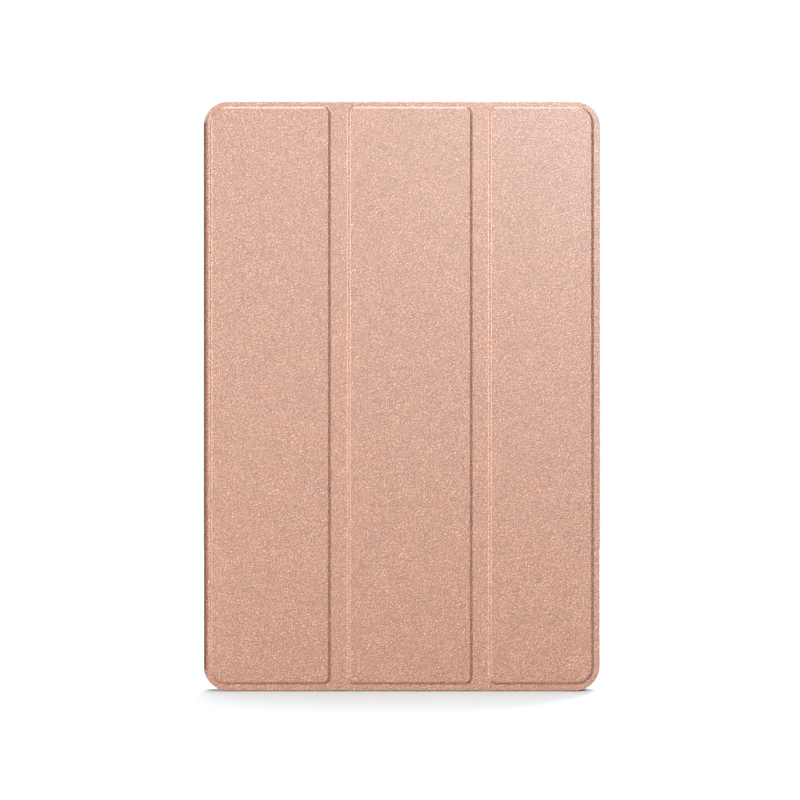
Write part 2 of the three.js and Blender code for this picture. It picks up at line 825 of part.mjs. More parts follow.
export default model;
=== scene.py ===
# Looks of a tablet computer in a closed tri-fold folio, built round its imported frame.
# Metres, in the frame's own axes: X to the right, Z up, and the cover faces -Y.
import math

import bmesh
import bpy
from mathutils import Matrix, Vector
from mathutils.geometry import delaunay_2d_cdt


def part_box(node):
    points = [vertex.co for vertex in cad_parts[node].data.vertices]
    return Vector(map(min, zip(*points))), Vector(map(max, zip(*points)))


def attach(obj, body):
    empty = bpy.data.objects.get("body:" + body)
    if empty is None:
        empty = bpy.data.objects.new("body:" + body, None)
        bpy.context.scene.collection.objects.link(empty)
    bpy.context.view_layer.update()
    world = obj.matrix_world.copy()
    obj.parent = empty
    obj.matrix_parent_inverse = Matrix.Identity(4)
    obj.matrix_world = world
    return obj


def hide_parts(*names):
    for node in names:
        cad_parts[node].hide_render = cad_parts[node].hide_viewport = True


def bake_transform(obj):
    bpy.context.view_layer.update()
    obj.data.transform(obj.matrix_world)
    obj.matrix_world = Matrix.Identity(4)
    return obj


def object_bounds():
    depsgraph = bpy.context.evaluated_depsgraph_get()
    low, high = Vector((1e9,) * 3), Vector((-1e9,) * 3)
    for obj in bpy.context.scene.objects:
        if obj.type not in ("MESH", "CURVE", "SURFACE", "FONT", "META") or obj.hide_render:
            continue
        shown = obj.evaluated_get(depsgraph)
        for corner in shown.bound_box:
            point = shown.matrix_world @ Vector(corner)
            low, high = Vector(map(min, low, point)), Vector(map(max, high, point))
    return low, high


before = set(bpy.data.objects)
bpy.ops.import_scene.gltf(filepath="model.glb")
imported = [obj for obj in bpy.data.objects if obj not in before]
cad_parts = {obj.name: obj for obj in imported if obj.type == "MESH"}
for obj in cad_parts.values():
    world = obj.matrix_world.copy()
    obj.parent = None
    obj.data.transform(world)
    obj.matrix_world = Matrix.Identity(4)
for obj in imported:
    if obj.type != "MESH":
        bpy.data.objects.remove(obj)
cadLow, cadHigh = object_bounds()
mm = 0.001
print("frame loaded:", len(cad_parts), "nodes")


def addObject(name, data):
    made = bpy.data.objects.new(name, data)
    bpy.context.scene.collection.objects.link(made)
    return made


# Short ways to build node trees. A value that is a socket is linked, any other is set.
def addNode(tree, kind, values=None, **settings):
    family = "GeometryNode" if tree.type == "GEOMETRY" else "ShaderNode"
    if kind in ("Math", "CombineXYZ"):
        family = "ShaderNode"
    node = tree.nodes.new(kind if kind.startswith("NodeGroup") else family + kind)
    for key, value in settings.items():
        setattr(node, key, value)
    for key, value in (values or {}).items():
        if isinstance(value, bpy.types.NodeSocket):
            tree.links.new(value, node.inputs[key])
        else:
            node.inputs[key].default_value = value
    return node


def startMaterial(name):
    material = bpy.data.materials.new(name)
    material.use_nodes = True
    tree = material.node_tree
    tree.nodes.clear()
    shader = tree.nodes.new("ShaderNodeBsdfPrincipled")
    output = tree.nodes.new("ShaderNodeOutputMaterial")
    tree.links.new(shader.outputs["BSDF"], output.inputs["Surface"])
    return material, tree, shader


def grains(tree, place, size, detail=2, distortion=0.0):
    values = {"Vector": place, "Scale": 1 / size, "Detail": detail, "Distortion": distortion}
    return addNode(tree, "TexNoise", values).outputs["Fac"]


def cells(tree, place, size, feature, randomness=1.0):
    values = {"Vector": place, "Scale": 1 / size, "Randomness": randomness}
    return addNode(tree, "TexVoronoi", values, feature=feature).outputs["Distance"]


def shift(tree, value, low, high, toLow, toHigh):
    values = {0: value, 1: low, 2: high, 3: toLow, 4: toHigh}
    return addNode(tree, "MapRange", values).outputs[0]


def combine(tree, operation, first, second):
    return addNode(tree, "Math", {0: first, 1: second}, operation=operation).outputs[0]


def combineVectors(tree, operation, first, second):
    return addNode(tree, "VectorMath", {0: first, 1: second}, operation=operation).outputs[0]


def blendColours(tree, factor, first, second, mode="MIX"):
    values = {0: factor, 6: first, 7: second}
    return addNode(tree, "Mix", values, data_type="RGBA", blend_type=mode).outputs[2]


def grey(tree, brightness):
    return addNode(tree, "CombineColor", {0: brightness, 1: brightness, 2: brightness}).outputs[0]


def shade(colour, factor=1):
    return (colour[0] * factor, colour[1] * factor, colour[2] * factor, 1)


def warped(tree, place, size, amount):
    noise = addNode(tree, "TexNoise", {"Vector": place, "Scale": 1 / size, "Detail": 2})
    centred = combineVectors(tree, "SUBTRACT", noise.outputs["Color"], (0.5, 0.5, 0.5))
    scaled = addNode(tree, "VectorMath", {0: centred, "Scale": amount}, operation="SCALE")
    return combineVectors(tree, "ADD", place, scaled.outputs[0])


def setBump(tree, shader, height, depth):
    bump = addNode(tree, "Bump", {"Height": height, "Distance": depth})
    tree.links.new(bump.outputs[0], shader.inputs["Normal"])


def ownSpace(tree):
    return addNode(tree, "TexCoord").outputs["Object"]


def sheetSpace(tree):
    return addNode(tree, "UVMap", uv_map="sheetMap").outputs[0]


# Camera: level with the middle of the folio, a long lens, square on to the cover.
cameraSizes = {
    "lens": 100,
    "sensor": 36,
    "near": 0.01,
    "far": 50,
    "viewWidth": 340.4 * mm,  # how much the camera takes in at the cover
    "asideX": -0.7 * mm,  # from the folio's middle to the camera
    "belowZ": 1.43 * mm,
}


def makeCamera():
    data = bpy.data.cameras.new("camera")
    data.lens = cameraSizes["lens"]
    data.sensor_width = cameraSizes["sensor"]
    data.clip_start = cameraSizes["near"]
    data.clip_end = cameraSizes["far"]
    camera = addObject("camera", data)
    away = cameraSizes["viewWidth"] * cameraSizes["lens"] / cameraSizes["sensor"]
    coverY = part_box("fold_strip_1")[0].y
    middleZ = (cadLow.z + cadHigh.z) / 2 - cameraSizes["belowZ"]
    camera.location = (cameraSizes["asideX"], coverY - away, middleZ)
    camera.rotation_euler = (math.pi / 2, 0, 0)
    bpy.context.scene.camera = camera


# Studio: a pale floor, a white tent, an even overhead light and three soft boxes.
studio = {
    "floorHalf": 0.9,
    "floorSunk": 0.02 * mm,  # just under the foot
    "floorShade": (0.682, 0.716, 0.738),
    "floorRoughness": 0.9,
    "floorGlow": 0.02,  # a lit table: what it gives out by itself
    "floorBounce": 0.20,  # how much of the floor's light comes back up to the folio
    "wrapAround": 0.11,  # brightness of the white tent as the object sees it
    "backdrop": 1.0,  # brightness of the tent behind the object
    "overheadPower": 2.6,
    "overheadSpread": 34,  # degrees
    "overheadLean": 11.5,  # degrees, towards the back
}
softBoxes = {
    "key": {  # upper left
        "power": 182,
        "colour": (1.0, 0.98, 0.96),
        "size": (1.2, 1.2),
        "place": (-2.46, -2.55, 0.80),
    },
    "glaze": {  # upper right, nearer
        "power": 22,
        "colour": (0.94, 0.98, 1.0),
        "size": (0.8, 0.5),
        "place": (0.56, -1.42, 0.80),
    },
    "back": {  # for the back and the keys' side
        "power": 60,
        "colour": (0.98, 0.99, 1.0),
        "size": (1.4, 1.0),
        "place": (0.60, 1.70, 1.35),
    },
}


def floorMaterial():
    material, tree, shader = startMaterial("floorPaper")
    direct = addNode(tree, "LightPath").outputs["Is Camera Ray"]
    bounce = shade((1, 1, 1), studio["floorBounce"])
    paper = blendColours(tree, direct, bounce, shade(studio["floorShade"]))
    tree.links.new(paper, shader.inputs["Base Color"])
    shader.inputs["Roughness"].default_value = studio["floorRoughness"]
    shader.inputs["Specular IOR Level"].default_value = 0.0
    shader.inputs["Emission Color"].default_value = (1, 1, 1, 1)
    shader.inputs["Emission Strength"].default_value = studio["floorGlow"]
    # Seen from below, the table lets the view through.
    output = shader.outputs["BSDF"].links[0].to_node
    below = addNode(tree, "NewGeometry").outputs["Backfacing"]
    clear = addNode(tree, "BsdfTransparent").outputs[0]
    both = addNode(tree, "MixShader", {0: below, 1: shader.outputs["BSDF"], 2: clear})
    tree.links.new(both.outputs[0], output.inputs["Surface"])
    return material


def makeFloor():
    half = studio["floorHalf"]
    under = -studio["floorSunk"]
    corners = [(-half, -half, under), (half, -half, under), (half, half, under), (-half, half, under)]
    mesh = bpy.data.meshes.new("floor")
    mesh.from_pydata(corners, [], [(0, 1, 2, 3)])
    mesh.materials.append(floorMaterial())
    addObject("floor", mesh)


def makeTent():
    tent = bpy.data.worlds.new("tent")
    tent.use_nodes = True
    tree = tent.node_tree
    tree.nodes.clear()
    direct = addNode(tree, "LightPath").outputs["Is Camera Ray"]
    spread = studio["backdrop"] - studio["wrapAround"]
    values = {0: direct, 1: spread, 2: studio["wrapAround"]}
    strength = addNode(tree, "Math", values, operation="MULTIPLY_ADD")
    white = addNode(tree, "Background", {"Color": (1, 1, 1, 1), "Strength": strength.outputs[0]})
    addNode(tree, "OutputWorld", {"Surface": white.outputs[0]})
    bpy.context.scene.world = tent


def makeLights():
    data = bpy.data.lights.new("overhead", "SUN")
    data.energy = studio["overheadPower"]
    data.angle = math.radians(studio["overheadSpread"])
    overhead = addObject("overhead", data)
    overhead.rotation_euler = (-math.radians(studio["overheadLean"]), 0, 0)
    middle = Vector((0, 0, (cadLow.z + cadHigh.z) / 2))
    for name, box in softBoxes.items():
        data = bpy.data.lights.new(name, "AREA")
        data.energy = box["power"]
        data.color = box["colour"]
        data.shape = "RECTANGLE"
        data.size, data.size_y = box["size"]
        light = addObject(name, data)
        light.location = box["place"]
        light.rotation_euler = (middle - light.location).to_track_quat("-Z", "Y").to_euler()


makeCamera()
makeFloor()
makeTent()
makeLights()
bpy.context.scene.view_settings.view_transform = "Standard"
bpy.context.scene.view_settings.look = "None"
print("camera and studio ready")


# The quarter-round bends along both long edges of the spine.
bend = {
    "radius": 2.0 * mm,  # to the outside of the leather
    "steps": 16,
    "leather": 0.70 * mm,  # thickness
    "lining": (0.90 * mm, 1.25 * mm),  # inner and outer radius
}
quarterArc = bend["radius"] * math.pi / 2

leatherette = {
    "colour": (0.905, 0.420, 0.254),
    "creaseShade": 0.76,  # painted shade: brightness in the creases of the grain
    "creaseWidth": 0.13,
    "hollowShade": (0.64, 0.47, 0.34),  # painted shade: what the colour is multiplied by low in the relief
    "topHighlight": (1.09, 1.40, 1.64),  # painted highlight: and on top of it, lighter and whiter
    "shadeHighlightReach": (0.62, 1.26),  # heights that count as low and as top
    "mottleSize": 9 * mm,
    "mottle": ((0.955, 0.950, 0.945), (1.030, 1.035, 1.040)),
    "bendShade": 0.33,  # painted shade: brightness of the leather on the bends of the spine, where they turn away from the light
    "spineTone": 0.80,  # and on the flat of the spine
    "outerShadeReach": (1.3 * mm, -0.1 * mm),  # where the painted shade starts and ends, in from the flat cover
    "innerShadeReach": (4.0 * mm, 2.8 * mm),
    "shadeShift": 0.1 * mm,
    "pebble": 0.78 * mm,
    "pebbleWarp": (0.95 * mm, 0.5 * mm),
    "pebbleSlope": 0.34,
    "fold": 1.35 * mm,
    "foldWarp": (1.6 * mm, 0.9 * mm),
    "foldSlope": 0.16,
    "swell": 0.60 * mm,
    "pore": 0.25 * mm,
    "flow": 0.7 * mm,
    "flowStretch": 0.16,
    "flowPatch": 45 * mm,
    "relief": {"pebbles": 0.42, "folds": 0.22, "swells": 0.75, "flow": 0.22, "pores": 0.10},
    "reliefDepth": 1.5 * mm,
    "roughness": (0.44, 0.60),
    "specular": 0.35,
    "coatRoughness": 0.44,
    "coatIndex": 2.15,
}


def leatherFlow(tree, place):
    # Grain drawn out upright in some parts and across in others.
    stretch = leatherette["flowStretch"]
    drawn = []
    for scale in ((1, stretch, 1), (stretch, 1, 1)):
        stretched = combineVectors(tree, "MULTIPLY", place, scale)
        drawn.append(grains(tree, stretched, leatherette["flow"], 1))
    parts = grains(tree, place, leatherette["flowPatch"], 1)
    which = shift(tree, parts, 0.42, 0.58, 0.0, 1.0)
    return addNode(tree, "Mix", {0: which, 2: drawn[0], 3: drawn[1]}).outputs[0]


def leatherRelief(tree, place):
    # The height of the grain, and how far a place is out of the creases.
    bent = warped(tree, place, *leatherette["pebbleWarp"])
    broad = warped(tree, place, *leatherette["foldWarp"])
    pebbles = cells(tree, bent, leatherette["pebble"], "DISTANCE_TO_EDGE")
    folds = cells(tree, broad, leatherette["fold"], "DISTANCE_TO_EDGE")
    folds = shift(tree, folds, 0.0, leatherette["foldSlope"], 0.0, 1.0)
    layers = {
        "pebbles": shift(tree, pebbles, 0.0, leatherette["pebbleSlope"], 0.0, 1.0),
        "folds": folds,
        "swells": grains(tree, bent, leatherette["swell"], 1),
        "flow": leatherFlow(tree, place),
        "pores": grains(tree, place, leatherette["pore"], 2),
    }
    height = 0.0
    for name, layer in layers.items():
        height = combine(tree, "ADD", combine(tree, "MULTIPLY", layer, leatherette["relief"][name]), height)
    creases = combine(
        tree, "MULTIPLY",
        shift(tree, pebbles, 0.0, leatherette["creaseWidth"], 0.0, 1.0),
        shift(tree, folds, 0.0, 1.0, 0.4, 1.0),
    )
    return height, creases


def paintedSpineShade(tree, place):
    # Painted shade: the colour is darkened along both bends of the spine, where the leather turns away from
    # the light, and a little on the flat of the spine.
    low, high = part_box("spine_leather")
    bendStart = low.x + bend["radius"]
    spineMiddle = bendStart - quarterArc - (high.y - low.y) / 2 + leatherette["shadeShift"]
    reach = bendStart - spineMiddle
    across = addNode(tree, "SeparateXYZ", {0: place}).outputs["X"]
    away = combine(tree, "ABSOLUTE", combine(tree, "SUBTRACT", across, spineMiddle), 0.0)
    bendShade = leatherette["bendShade"]
    outer, inner = leatherette["outerShadeReach"], leatherette["innerShadeReach"]
    outside = shift(tree, away, reach - outer[0], reach - outer[1], bendShade, 1.0)
    inside = shift(tree, away, reach - inner[0], reach - inner[1], leatherette["spineTone"], bendShade)
    return grey(tree, combine(tree, "MAXIMUM", outside, inside))


def leatheretteMaterial(name, gloss):
    material, tree, shader = startMaterial(name)
    colour = leatherette["colour"]
    place = sheetSpace(tree)
    height, creases = leatherRelief(tree, place)
    setBump(tree, shader, height, leatherette["reliefDepth"])
    # Painted shade: the colour is darker in the creases of the grain.
    tone = blendColours(tree, creases, shade(colour, leatherette["creaseShade"]), shade(colour))
    patches = shift(tree, grains(tree, place, leatherette["mottleSize"], 4), 0.3, 0.7, 0.0, 1.0)
    duller, clearer = leatherette["mottle"]
    mottle = blendColours(tree, patches, shade(duller), shade(clearer))
    # Painted shade low in the grain's relief, and a painted whiter highlight on its tops.
    raised = shift(tree, height, *leatherette["shadeHighlightReach"], 0.0, 1.0)
    relief = blendColours(tree, raised, shade(leatherette["hollowShade"]), shade(leatherette["topHighlight"]))
    # The colour is multiplied by random patches, by the painted shade and highlight of the relief, and by
    # the painted shade along the spine's bends.
    for layer in (mottle, relief, paintedSpineShade(tree, place)):
        tone = blendColours(tree, 1.0, tone, layer, "MULTIPLY")
    tree.links.new(tone, shader.inputs["Base Color"])
    smooth, rough = leatherette["roughness"]
    tree.links.new(shift(tree, creases, 0.2, 0.9, rough, smooth), shader.inputs["Roughness"])
    shader.inputs["Specular IOR Level"].default_value = leatherette["specular"]
    shader.inputs["Coat Weight"].default_value = gloss
    shader.inputs["Coat Roughness"].default_value = leatherette["coatRoughness"]
    shader.inputs["Coat IOR"].default_value = leatherette["coatIndex"]
    return material


lining = {
    "colour": (0.30, 0.215, 0.185),
    "tones": (0.78, 1.20),
    "nap": 0.35 * mm,
    "strokes": 14 * mm,
    "strokeTones": ((0.90, 0.90, 0.90), (1.08, 1.07, 1.06)),
    "fibre": 0.16 * mm,
    "fibreWarp": (0.8 * mm, 0.5 * mm),
    "depth": 0.08 * mm,
    "sheen": 0.35,
    "sheenRoughness": 0.45,
}


def liningMaterial():
    material, tree, shader = startMaterial("microfibreLining")
    place = sheetSpace(tree)
    nap = grains(tree, place, lining["nap"], 3)
    strokes = grains(tree, place, lining["strokes"], 3, 0.6)
    fibres = grains(tree, warped(tree, place, *lining["fibreWarp"]), lining["fibre"], 2)
    darker, lighter = [shade(lining["colour"], factor) for factor in lining["tones"]]
    tone = blendColours(tree, nap, darker, lighter)
    against, along = [shade(colour) for colour in lining["strokeTones"]]
    brushed = blendColours(tree, strokes, against, along)
    tree.links.new(blendColours(tree, 1.0, tone, brushed, "MULTIPLY"), shader.inputs["Base Color"])
    height = combine(tree, "ADD", nap, combine(tree, "MULTIPLY", fibres, 0.5))
    setBump(tree, shader, height, lining["depth"])
    tree.links.new(shift(tree, nap, 0.3, 0.7, 0.98, 0.86), shader.inputs["Roughness"])
    shader.inputs["Sheen Weight"].default_value = lining["sheen"]
    shader.inputs["Sheen Roughness"].default_value = lining["sheenRoughness"]
    return material


# Finishes read in the part's own space: colour, lighter tone, roughness, metal, grain size, relief.
plainFinishes = {
    "fibreBoard": ((0.36, 0.30, 0.22), 1.30, (0.80, 0.95), 0.0, 0.9 * mm, 0.05 * mm),
    "shellPlastic": ((0.50, 0.275, 0.205), 1.05, (0.36, 0.50), 0.0, 0.35 * mm, 0.012 * mm),
    "magnetNickel": ((0.56, 0.55, 0.53), 1.15, (0.22, 0.38), 1.0, 1.2 * mm, 0.004 * mm),
    "blastedAluminium": ((0.58, 0.585, 0.60), 1.08, (0.30, 0.42), 1.0, 0.22 * mm, 0.008 * mm),
    "stampedSteel": ((0.50, 0.50, 0.51), 1.14, (0.26, 0.42), 1.0, 0.8 * mm, 0.006 * mm),
    "backlightFilm": ((0.80, 0.81, 0.83), 1.04, (0.45, 0.60), 0.0, 1.5 * mm, 0.004 * mm),
    "displayLayers": ((0.020, 0.021, 0.027), 1.30, (0.16, 0.30), 0.0, 2.0 * mm, 0.003 * mm),
    "pouchFoil": ((0.045, 0.048, 0.055), 1.50, (0.34, 0.52), 0.3, 2.6 * mm, 0.05 * mm),
    "amberFlex": ((0.42, 0.17, 0.035), 1.25, (0.30, 0.46), 0.0, 1.4 * mm, 0.010 * mm),
    "mattBlackMoulding": ((0.022, 0.022, 0.024), 1.60, (0.50, 0.68), 0.0, 0.5 * mm, 0.015 * mm),
}
plainMottle = {
    "size": 22 * mm,
    "warp": (9 * mm, 4 * mm),
    "fineShare": 0.45,
    "reach": (0.35, 0.65),
}


def plainMaterial(name):
    colour, lighter, (smooth, rough), metal, size, relief = plainFinishes[name]
    material, tree, shader = startMaterial(name)
    place = ownSpace(tree)
    fine = grains(tree, place, size, 3)
    broad = grains(tree, warped(tree, place, *plainMottle["warp"]), plainMottle["size"], 4)
    fineShare = plainMottle["fineShare"]
    mixed = combine(
        tree, "ADD",
        combine(tree, "MULTIPLY", fine, fineShare),
        combine(tree, "MULTIPLY", broad, 1 - fineShare),
    )
    tone = shift(tree, mixed, *plainMottle["reach"], 0.0, 1.0)
    worn = blendColours(tree, tone, shade(colour), shade(colour, lighter))
    tree.links.new(worn, shader.inputs["Base Color"])
    roughness = shift(tree, mixed, *plainMottle["reach"], rough, smooth)
    tree.links.new(roughness, shader.inputs["Roughness"])
    shader.inputs["Metallic"].default_value = metal
    setBump(tree, shader, fine, relief)
    return material


boardFinish = {
    "mask": (0.020, 0.115, 0.062),
    "track": (0.045, 0.19, 0.105),
    "pad": (0.62, 0.44, 0.20),
    "dust": (0.05, 0.14, 0.09),
    "trackPitch": 1.7 * mm,
    "padPitch": 2.6 * mm,
    "dustSize": 6 * mm,
    "relief": 0.02 * mm,
}


def circuitMaterial():
    # Solder mask with tracks under it and rows of tinned pads.
    material, tree, shader = startMaterial("solderMask")
    place = ownSpace(tree)
    tracks = cells(tree, place, boardFinish["trackPitch"], "DISTANCE_TO_EDGE", 0.35)
    lines = shift(tree, tracks, 0.05, 0.09, 1.0, 0.0)
    spots = cells(tree, place, boardFinish["padPitch"], "F1", 0.55)
    pads = shift(tree, spots, 0.16, 0.19, 1.0, 0.0)
    green = blendColours(tree, lines, shade(boardFinish["mask"]), shade(boardFinish["track"]))
    dusty = grains(tree, place, boardFinish["dustSize"], 4)
    settled = shift(tree, dusty, 0.4, 0.7, 0.0, 0.25)
    green = blendColours(tree, settled, green, shade(boardFinish["dust"]))
    tinned = blendColours(tree, pads, green, shade(boardFinish["pad"]))
    tree.links.new(tinned, shader.inputs["Base Color"])
    tree.links.new(pads, shader.inputs["Metallic"])
    tree.links.new(shift(tree, dusty, 0.3, 0.7, 0.34, 0.5), shader.inputs["Roughness"])
    setBump(tree, shader, combine(tree, "ADD", lines, pads), boardFinish["relief"])
    return material


screen = {
    "border": (0.004, 0.004, 0.005),
    "active": (0.011, 0.012, 0.016),
    "smear": 18 * mm,
    "smearWarp": (30 * mm, 14 * mm),
    "relief": 0.002 * mm,
}


def screenMaterial():
    # Black border paint round the display, behind one sheet of polished glass.
    material, tree, shader = startMaterial("screenGlass")
    place = ownSpace(tree)
    low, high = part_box("lcd_cell")
    apart = combineVectors(tree, "SUBTRACT", place, tuple((low + high) / 2))
    size = addNode(tree, "VectorMath", {0: apart}, operation="ABSOLUTE").outputs[0]
    split = addNode(tree, "SeparateXYZ", {0: size})
    acrossIn = combine(tree, "LESS_THAN", split.outputs["X"], (high.x - low.x) / 2)
    uprightIn = combine(tree, "LESS_THAN", split.outputs["Z"], (high.z - low.z) / 2)
    inside = combine(tree, "MULTIPLY", acrossIn, uprightIn)
    colour = blendColours(tree, inside, shade(screen["border"]), shade(screen["active"]))
    tree.links.new(colour, shader.inputs["Base Color"])
    smears = grains(tree, warped(tree, place, *screen["smearWarp"]), screen["smear"], 5)
    tree.links.new(shift(tree, smears, 0.45, 0.75, 0.03, 0.10), shader.inputs["Roughness"])
    shader.inputs["Coat Weight"].default_value = 0.5
    shader.inputs["Coat Roughness"].default_value = 0.02
    setBump(tree, shader, smears, screen["relief"])
    return material


lensFinish = {
    "tint": (0.006, 0.010, 0.030),
    "rim": (0.030, 0.012, 0.045),
    "coat": (0.62, 0.70, 1.0),
    "ripple": 5200,  # radians for each metre out from the middle
    "dust": 1.5 * mm,
    "relief": 0.004 * mm,
}


def lensMaterial():
    # Dark coated glass, with the rims of the elements behind it as faint circles.
    material, tree, shader = startMaterial("coatedLens")
    place = ownSpace(tree)
    low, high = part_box("rear_camera_lens")
    apart = combineVectors(tree, "SUBTRACT", place, tuple((low + high) / 2))
    flat = combineVectors(tree, "MULTIPLY", apart, (1, 0, 1))
    radius = addNode(tree, "VectorMath", {0: flat}, operation="LENGTH").outputs["Value"]
    ripple = combine(tree, "SINE", combine(tree, "MULTIPLY", radius, lensFinish["ripple"]), 0.0)
    rims = shift(tree, ripple, 0.5, 1.0, 0.0, 1.0)
    colour = blendColours(tree, rims, shade(lensFinish["tint"]), shade(lensFinish["rim"]))
    tree.links.new(colour, shader.inputs["Base Color"])
    dust = grains(tree, place, lensFinish["dust"], 4)
    tree.links.new(shift(tree, dust, 0.4, 0.8, 0.02, 0.08), shader.inputs["Roughness"])
    setBump(tree, shader, rims, lensFinish["relief"])
    shader.inputs["Coat Weight"].default_value = 1.0
    shader.inputs["Coat Roughness"].default_value = 0.02
    shader.inputs["Coat Tint"].default_value = shade(lensFinish["coat"])
    return material


leather = leatheretteMaterial("roseLeatherette", 1.0)
# A less glossy leatherette for the spine and its bends; like the other, its colour carries the painted
# shade along the bends.
mattSpineLeather = leatheretteMaterial("mattSpineLeatherette", 0.12)
microfibre = liningMaterial()
plain = {name: plainMaterial(name) for name in plainFinishes}
solderMask = circuitMaterial()
screenGlass = screenMaterial()
coatedLens = lensMaterial()
print("materials ready")


flatMargin = 0.15 * mm  # a ring this far in on a flat keeps its shading even
sharpEdges = {"sheets": 35, "rigid": 50}  # degrees
nearlyStraight = 0.3  # sine of the turn between two sides
samePlace = 1e-7  # points closer than this are one point
facing = 0.4  # a face whose normal lies this much along Y looks to the front or the back


def roundedOutline(x0, x1, z0, z1, radii, steps):
    # Corners in the order foot left, foot right, head right, head left.
    places = [(x0, z0, 1, 1, 180), (x1, z0, -1, 1, 270), (x1, z1, -1, -1, 0), (x0, z1, 1, -1, 90)]
    outline = []
    for (x, z, inX, inZ, start), radius in zip(places, radii):
        if radius <= 0:
            outline.append((x, z))
            continue
        for step in range(steps + 1):
            angle = math.radians(start + 90 * step / steps)
            centreX, centreZ = x + inX * radius, z + inZ * radius
            outline.append((centreX + radius * math.cos(angle), centreZ + radius * math.sin(angle)))
    return outline


def onSeam(start, end, seams):
    return any(abs(start[0] - x) < samePlace and abs(end[0] - x) < samePlace for x in seams)


def drawnIn(outline, inset, seams=()):
    # Moves every side in by the same distance, except a side that lies on a seam. A sharp
    # corner goes to where its moved sides meet, any other along the middle of the two.
    moved = []
    count = len(outline)
    for index, here in enumerate(outline):
        before, after = outline[index - 1], outline[(index + 1) % count]
        sides = []
        for start, end in ((before, here), (here, after)):
            along = (Vector(end) - Vector(start)).normalized()
            sides.append((Vector((-along.y, along.x)), 0.0 if onSeam(start, end, seams) else inset))
        (first, firstInset), (second, secondInset) = sides
        across = first.x * second.y - first.y * second.x
        if abs(across) < nearlyStraight:
            step = (first + second) * (max(firstInset, secondInset, key=abs) / (1 + first.dot(second)))
        else:
            stepX = (firstInset * second.y - secondInset * first.y) / across
            stepY = (secondInset * first.x - firstInset * second.x) / across
            step = Vector((stepX, stepY))
        moved.append((here[0] + step.x, here[1] + step.y))
    return moved


def encloses(loop, place):
    # Counts the sides that a line to the right of the place crosses.
    inside = False
    for start, end in zip(loop, loop[1:] + loop[:1]):
        if (start[1] > place[1]) != (end[1] > place[1]):
            share = (place[1] - start[1]) / (end[1] - start[1])
            if place[0] < start[0] + share * (end[0] - start[0]):
                inside = not inside
    return inside


class Skin:
    # Collects faces, and shares the points that coincide.
    def __init__(self):
        self.points = []
        self.known = {}
        self.faces = []

    def point(self, x, y, z):
        key = tuple(round(value / samePlace) for value in (x, y, z))
        if key not in self.known:
            self.known[key] = len(self.points)
            self.points.append((x, y, z))
        return self.known[key]

    def face(self, corners):
        indices = [self.point(*corner) for corner in corners]
        kept = [value for place, value in enumerate(indices) if value != indices[place - 1]]
        if len(set(kept)) >= 3:
            self.faces.append(kept)

    def band(self, first, second):
        count = len(first)
        for here in range(count):
            after = (here + 1) % count
            self.face((first[here], first[after], second[after], second[here]))

    def bands(self, rings):
        for first, second in zip(rings, rings[1:]):
            self.band(first, second)

    def cap(self, y, outer, holes=()):
        # A flat face at one depth, with holes in it.
        places = []
        sides = []
        for loop in (outer, *holes):
            start = len(places)
            places += loop
            sides += [(start + i, start + (i + 1) % len(loop)) for i in range(len(loop))]
        made = delaunay_2d_cdt([Vector(place) for place in places], sides, [], 1, 1e-9)
        corners = [places[given[0]] for given in made[3]]
        for triangle in made[2]:
            middle = [sum(corners[i][axis] for i in triangle) / 3 for axis in (0, 1)]
            if not any(encloses(hole, middle) for hole in holes):
                self.face([(corners[i][0], y, corners[i][1]) for i in triangle])


def finishedPiece(mesh, sharp, material):
    mesh.shade_smooth()
    mesh.set_sharp_from_angle(angle=math.radians(sharp))
    mesh.materials.clear()
    mesh.materials.append(material)
    return addObject(mesh.name, mesh)


def newPiece(name, skin, material, mapping=None):
    mesh = bpy.data.meshes.new(name)
    mesh.from_pydata(skin.points, [], skin.faces)
    shape = bmesh.new()
    shape.from_mesh(mesh)
    bmesh.ops.recalc_face_normals(shape, faces=shape.faces)
    shape.to_mesh(mesh)
    shape.free()
    if mapping:
        layer = mesh.uv_layers.new(name="sheetMap")
        for polygon in mesh.polygons:
            for loop in polygon.loop_indices:
                place = mesh.vertices[mesh.loops[loop].vertex_index].co
                layer.data[loop].uv = mapping(place, polygon.normal)
    return finishedPiece(mesh, sharpEdges["sheets"], material)


def at(y, outline):
    return [(x, y, z) for x, z in outline]


def cutEdge(outline, yFront, yBack, radius, seams, steps):
    # Rings from the front face over the rounded cut edge to the back face.
    flatInset = radius + flatMargin
    rings = [at(yFront, drawnIn(outline, flatInset, seams))]
    for step in range(steps + 1):
        angle = math.pi / 2 * step / steps
        inset = radius * (1 - math.sin(angle))
        rings.append(at(yFront + radius * (1 - math.cos(angle)), drawnIn(outline, inset, seams)))
    for step in range(steps, -1, -1):
        angle = math.pi / 2 * step / steps
        inset = radius * (1 - math.sin(angle))
        rings.append(at(yBack - radius * (1 - math.cos(angle)), drawnIn(outline, inset, seams)))
    rings.append(at(yBack, drawnIn(outline, flatInset, seams)))
    return rings


def flattened(ring):
    return [(x, z) for x, _, z in ring]


softening = {"folded": 35, "flat": 0.6, "segments": 2}  # degrees, degrees, steps


def softened(node, name, width, material):
    # A copy of a CAD node with its edges rounded.
    shape = bmesh.new()
    shape.from_mesh(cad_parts[node].data)
    bmesh.ops.remove_doubles(shape, verts=shape.verts, dist=samePlace)
    flat = math.radians(softening["flat"])
    bmesh.ops.dissolve_limit(shape, angle_limit=flat, verts=shape.verts, edges=shape.edges)
    folded = math.radians(softening["folded"])
    edges = [edge for edge in shape.edges if edge.is_manifold and edge.calc_face_angle() > folded]
    bmesh.ops.bevel(
        shape, geom=edges, offset=width, segments=softening["segments"], profile=0.5,
        affect="EDGES", clamp_overlap=True,
    )
    mesh = bpy.data.meshes.new(name)
    shape.to_mesh(mesh)
    shape.free()
    return finishedPiece(mesh, sharpEdges["rigid"], material)


def stand(piece, body, slot, *nodes):
    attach(piece, body)
    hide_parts(*nodes)
    return piece


